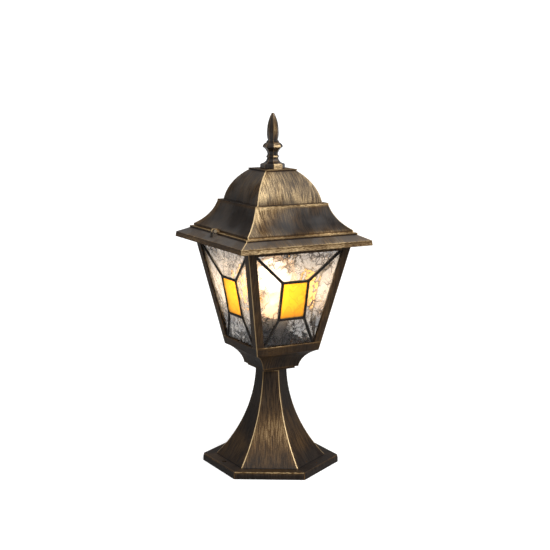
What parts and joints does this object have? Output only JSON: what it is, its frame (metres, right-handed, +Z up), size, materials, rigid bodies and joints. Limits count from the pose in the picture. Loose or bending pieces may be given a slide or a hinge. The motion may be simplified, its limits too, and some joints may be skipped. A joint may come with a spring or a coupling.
{
  "type": "garden post lamp",
  "caption": "Garden post lamp: flared hexagonal pedestal, square tapered lantern with leaded clear and amber glass, hinged cushion roof with finial.",
  "frame": {"origin": "centre of the base's underside", "axes": "+Z up the lamp's axis, -Y the front leaded panel, -X the side with the roof's hinge"},
  "size_m": [0.1798, 0.1798, 0.44],
  "materials": {
    "bronze_casting": "dark bronze paint brushed with gold on edges and slopes",
    "clear_glass": "hammered clear cathedral glass",
    "amber_glass": "hammered amber cathedral glass",
    "lead_came": "lead with black patina",
    "plated_steel": "zinc plated",
    "brass_pin": "aged",
    "contact_brass": "bright",
    "seal_rubber": "matte",
    "dark_ceramic": "dark glaze",
    "bulb_opal": "opal, lit",
    "block_plastic": "matte",
    "lead_brown": "matte",
    "lead_blue": "matte",
    "lead_green": "matte"
  },
  "bodies": {
    "lantern": {"front_top_glass": "clear_glass", "front_bottom_glass": "clear_glass", "front_left_glass": "clear_glass", "front_right_glass": "clear_glass", "front_amber_glass": "amber_glass", "front_came": "lead_came", "right_top_glass": "clear_glass", "right_bottom_glass": "clear_glass", "right_left_glass": "clear_glass", "right_right_glass": "clear_glass", "right_amber_glass": "amber_glass", "right_came": "lead_came", "back_top_glass": "clear_glass", "back_bottom_glass": "clear_glass", "back_left_glass": "clear_glass", "back_right_glass": "clear_glass", "back_amber_glass": "amber_glass", "back_came": "lead_came", "left_top_glass": "clear_glass", "left_bottom_glass": "clear_glass", "left_left_glass": "clear_glass", "left_right_glass": "clear_glass", "left_amber_glass": "amber_glass", "left_came": "lead_came", "pedestal": "bronze_casting", "lantern_frame": "bronze_casting", "eave": "bronze_casting", "neck_seal": "seal_rubber", "corner_straps": "plated_steel", "strap_screws": "plated_steel", "eave_screws": "plated_steel", "hinge_pin": "brass_pin", "threaded_tube": "plated_steel", "tube_nut_upper": "plated_steel", "tube_nut_lower": "plated_steel", "tube_washer": "plated_steel", "holder_cap": "plated_steel", "holder_screws": "plated_steel", "lamp_holder": "dark_ceramic", "holder_shell": "contact_brass", "centre_contact": "contact_brass", "bulb": "bulb_opal", "terminal_block": "block_plastic", "terminal_screws": "plated_steel", "block_screw": "plated_steel", "live_lead": "lead_brown", "neutral_lead": "lead_blue", "earth_lead": "lead_green", "earth_lug": "contact_brass", "earth_screw": "plated_steel"},
    "roof": {"roof": "bronze_casting", "finial": "bronze_casting", "finial_screw": "plated_steel", "finial_washer": "plated_steel"}
  },
  "joints": [
    {"name": "roof_hinge", "type": "hinge", "parent": "lantern", "child": "roof", "pos_m": [-0.08031, 0, 0.3005], "axis": [0, -1, 0], "range_deg": [0, 110]}
  ]
}
